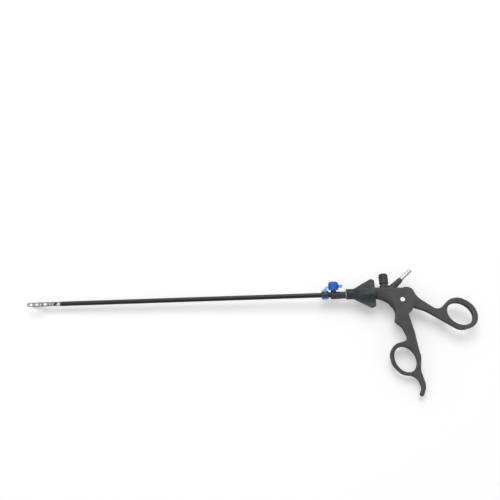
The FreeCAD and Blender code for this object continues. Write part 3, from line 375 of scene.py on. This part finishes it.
def jaw_steel():
    """The jaws and their fork: painted shade on their sides and in the gap where the tails move,
    and a painted highlight at the root.
    """
    finish = brushed("jaw_steel", colour(158, 159, 150), 0.36)
    # Painted shade on both sides of the jaws
    side = finish.facing(JAW_HINGE)
    finish.tint(finish.step(side, 0.3, 0.8), 0.4)
    finish.tint(finish.step(side, -0.3, -0.8), 0.6)
    place = finish.along(ALONG_TUBE)
    from_middle = finish.size(finish.along(JAW_HINGE))
    gap_front = finish.step(place, -7.6 * MM, -6.8 * MM)
    gap_back = finish.step(place, -3.6 * MM, -4.6 * MM)
    gap_middle = finish.step(from_middle, 2.0 * MM, 1.5 * MM)
    # Painted shade in the gap where the tails move
    painted_gap_shade = finish.product(finish.product(gap_front, gap_back), gap_middle)
    finish.tint(painted_gap_shade, 0.12)
    # Painted highlight on the root at the tube's end
    painted_root_highlight = finish.step(place, -3.4 * MM, -2.8 * MM)
    finish.tint(painted_root_highlight, 1.7)
    return finish


def screw_steel():
    """The pivot screw's polished head, bright in the middle, with painted shade towards its rim.
    """
    finish = Finish("screw_steel", colour(226, 226, 226), 0.22, Metallic=1.0)
    finish.vary_roughness(finish.noise(1.2 * MM, detail=3), spread=0.04)
    finish.vary_colour(finish.noise(1.5 * MM, detail=2), low=0.93, high=1.05)
    lowest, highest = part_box("pivot_screw")
    centre = (Vector(lowest) + Vector(highest)) / 2
    head_radius = (highest[0] - lowest[0]) / 2
    radius = finish.away(centre, ACROSS_SCREW)
    # Painted shade from the middle of the head out to its rim
    finish.tint(finish.step(radius, 0.25 * head_radius, 0.95 * head_radius), 0.25)
    return finish


def pin_steel():
    """The electrode pin, ground across, with painted shade on its flanks that leaves a bright
    line along its top.
    """
    finish = brushed("pin_steel", colour(184, 183, 177), 0.30, stretch=(1, 1, 0.1))
    # Painted shade on the flanks of the pin
    painted_flank_shade = finish.step(finish.squarely(BESIDE_PIN), 0.4, 0.95)
    finish.tint(painted_flank_shade, 0.4)
    return finish


def give_finishes():
    """Each node gets its slot's finish, apart from three that have their own."""
    finishes = {
        "handle_plastic": handle_grey(),
        "collar_plastic": collar_grey(),
        "button_plastic": moulded("button_grey", colour(70, 71, 70), 0.46),
        "boot_plastic": moulded("boot_grey", colour(68, 67, 67), 0.42),
        "hub_plastic": moulded("hub_grey", colour(52, 49, 52), 0.34),
        "white_plastic": moulded("white_washer", colour(214, 212, 208), 0.40),
        "tube_insulation": shrink_sleeve(),
        "cap_blue": cap_blue(),
        "tether_blue": silicone("tether_blue", colour(150, 195, 246), 0.16, 1.0),
        "seal_rubber": silicone("seal_white", colour(200, 200, 195), 0.45, 0.0),
        "jaw_steel": jaw_steel(),
        "steel": brushed("steel", colour(190, 190, 192), 0.30)}
    special = {
        "pivot_screw": screw_steel(),
        "electrode_pin": pin_steel(),
        "luer_port": brushed("blackened_steel", colour(62, 62, 66), 0.35)}
    slots = {part["node"]: part["material_slot"] for part in frame["record"]["subparts"]}
    for name, node in nodes.items():
        finish = special.get(name) or finishes[slots[name]]
        node.data.materials.clear()
        node.data.materials.append(finish.material)


# Two pieces that bend on the instrument, shown by joined copies of their CAD nodes
MERGE_REACH = 0.001 * MM
SMOOTH_ANGLE = 0.7


def soft_copy(node_name, name):
    """A copy of a CAD piece, its loose triangles joined and its shading smoothed, that stands in
    for it.
    """
    piece = bpy.data.objects.new(name, nodes[node_name].data.copy())
    scene.collection.objects.link(piece)
    piece.select_set(True)
    bpy.context.view_layer.objects.active = piece
    bpy.ops.object.mode_set(mode="EDIT")
    bpy.ops.mesh.select_all(action="SELECT")
    bpy.ops.mesh.remove_doubles(threshold=MERGE_REACH)
    bpy.ops.object.mode_set(mode="OBJECT")
    bpy.ops.object.shade_smooth_by_angle(angle=SMOOTH_ANGLE)
    piece.select_set(False)
    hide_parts(node_name)
    return piece


def release_spring():
    """The button's spring stands on the handle and rides with it; on the instrument it shortens
    by the button's travel, but this copy keeps its shape.
    """
    spring = soft_copy("button_spring", "release_spring")
    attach(spring, "handle")
    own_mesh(spring)


def cap_tether():
    """The strap from its ring on the tube to the cap, its placing baked into its mesh; on the
    instrument it stretches as the cap comes off, but this copy keeps its shape.
    """
    strap = soft_copy("tether_strap", "cap_tether")
    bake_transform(strap)


# Table and light. The table glows only towards rays that show the background.
TABLE_NORMAL = Vector((0.0201, 0.0968, 0.9951)).normalized()
TABLE_WIDTH = 12
TABLE_GAP = 0.1 * MM
TABLE_GLOW = 0.28
SKY_LIGHT = 0.38
LAMP_AIM = Vector((0.22, 0, 0))
LAMP_TOP = Vector((0, 1, 0.2))


def seen_rays(tree):
    """1 for rays that show the background: to the camera, off a gloss or through glass."""
    ray = tree.nodes.new("ShaderNodeLightPath").outputs
    direct = maths(tree, "MAXIMUM", ray["Is Camera Ray"], ray["Is Glossy Ray"])
    return maths(tree, "MAXIMUM", direct, ray["Is Transmission Ray"])


def when_seen(tree, otherwise, seen):
    """One strength for the rays that show the background, and another for the rest."""
    return rescaled(tree, seen_rays(tree), 0, 1, otherwise, seen)


def lay_table():
    """A white plane under the three points that the instrument lies on."""
    lowest = min(TABLE_NORMAL.dot(vertex.co) for node in nodes.values()
                 for vertex in node.data.vertices)
    bpy.ops.mesh.primitive_plane_add(size=TABLE_WIDTH)
    table = bpy.context.object
    table.name = "table"
    table.matrix_world = (Matrix.Translation(TABLE_NORMAL * (lowest - TABLE_GAP))
                          @ TABLE_NORMAL.to_track_quat("Z", "Y").to_matrix().to_4x4())
    finish = Finish("table_white", colour(250, 250, 250), 0.75, Emission_Color=WHITE)
    finish.vary_colour(finish.noise(400 * MM, detail=2), low=0.995, high=1.005)
    finish.link(when_seen(finish.tree, 0, TABLE_GLOW), finish.shader["Emission Strength"])
    table.data.materials.append(finish.material)


def soft_light(name, place, size, power):
    """A round lamp that faces the instrument's middle."""
    data = bpy.data.lights.new(name, "AREA")
    data.shape = "DISK"
    data.size = size
    data.energy = power
    light = bpy.data.objects.new(name, data)
    light.matrix_world = turned_to(Vector(place), LAMP_AIM, LAMP_TOP)
    scene.collection.objects.link(light)


def light_scene():
    world = bpy.data.worlds.new("world")
    world.use_nodes = True
    tree = world.node_tree
    background = tree.nodes["Background"].inputs
    background["Color"].default_value = WHITE
    tree.links.new(when_seen(tree, SKY_LIGHT, 1), background["Strength"])
    scene.world = world
    soft_light("key", place=(0.3, 0.9, 1.5), size=1.5, power=13.5)
    soft_light("fill", place=(-0.7, -0.6, 1.3), size=1.4, power=2.5)


set_camera()
give_finishes()
release_spring()
cap_tether()
lay_table()
light_scene()
